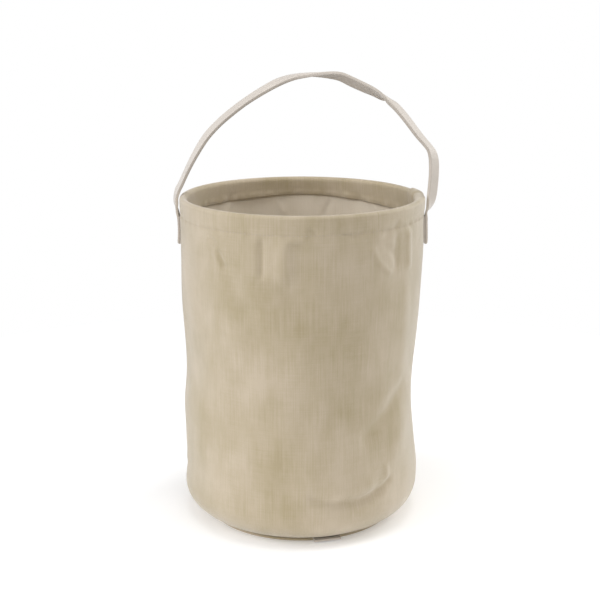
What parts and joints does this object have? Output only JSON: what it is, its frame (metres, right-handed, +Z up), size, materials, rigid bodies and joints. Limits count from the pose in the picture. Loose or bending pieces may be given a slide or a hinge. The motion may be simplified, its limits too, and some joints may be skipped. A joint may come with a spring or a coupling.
{
  "type": "fabric storage bin",
  "caption": "Round soft canvas storage bin with a turned-in rim, a lapped side seam, a flat base and one arched carrying strap.",
  "frame": {"origin": "centre of the base, on the surface the bin stands on", "axes": "+Z up the bin's axis, +X towards the sewn strap end that is beside the side seam, -Y the front"},
  "size_m": [0.2793, 0.262, 0.4818],
  "materials": {
    "canvas": "warm beige woven canvas, matt",
    "strap": "pale grey-beige cotton webbing, matt",
    "wire": "plain spring wire",
    "board": "brown fibre board",
    "thread": "beige sewing thread"
  },
  "bodies": {
    "bin": {"wall_panel": "canvas", "rim_hoop": "wire", "hem_thread": "thread", "side_seam_thread_inner": "thread", "side_seam_thread_outer": "thread", "base_panel": "canvas", "base_thread": "thread", "base_board": "board", "board_cover": "canvas", "base_tab": "strap", "strap_end_left": "strap", "strap_end_right": "strap", "strap_thread_left": "thread", "strap_thread_right": "thread"},
    "handle": {"handle_strap": "strap"}
  },
  "joints": [
    {"name": "handle_swing", "type": "hinge", "parent": "bin", "child": "handle", "pos_m": [0, 0, 0.3635], "axis": [1, 0, 0], "range_deg": [-90, 90]}
  ]
}
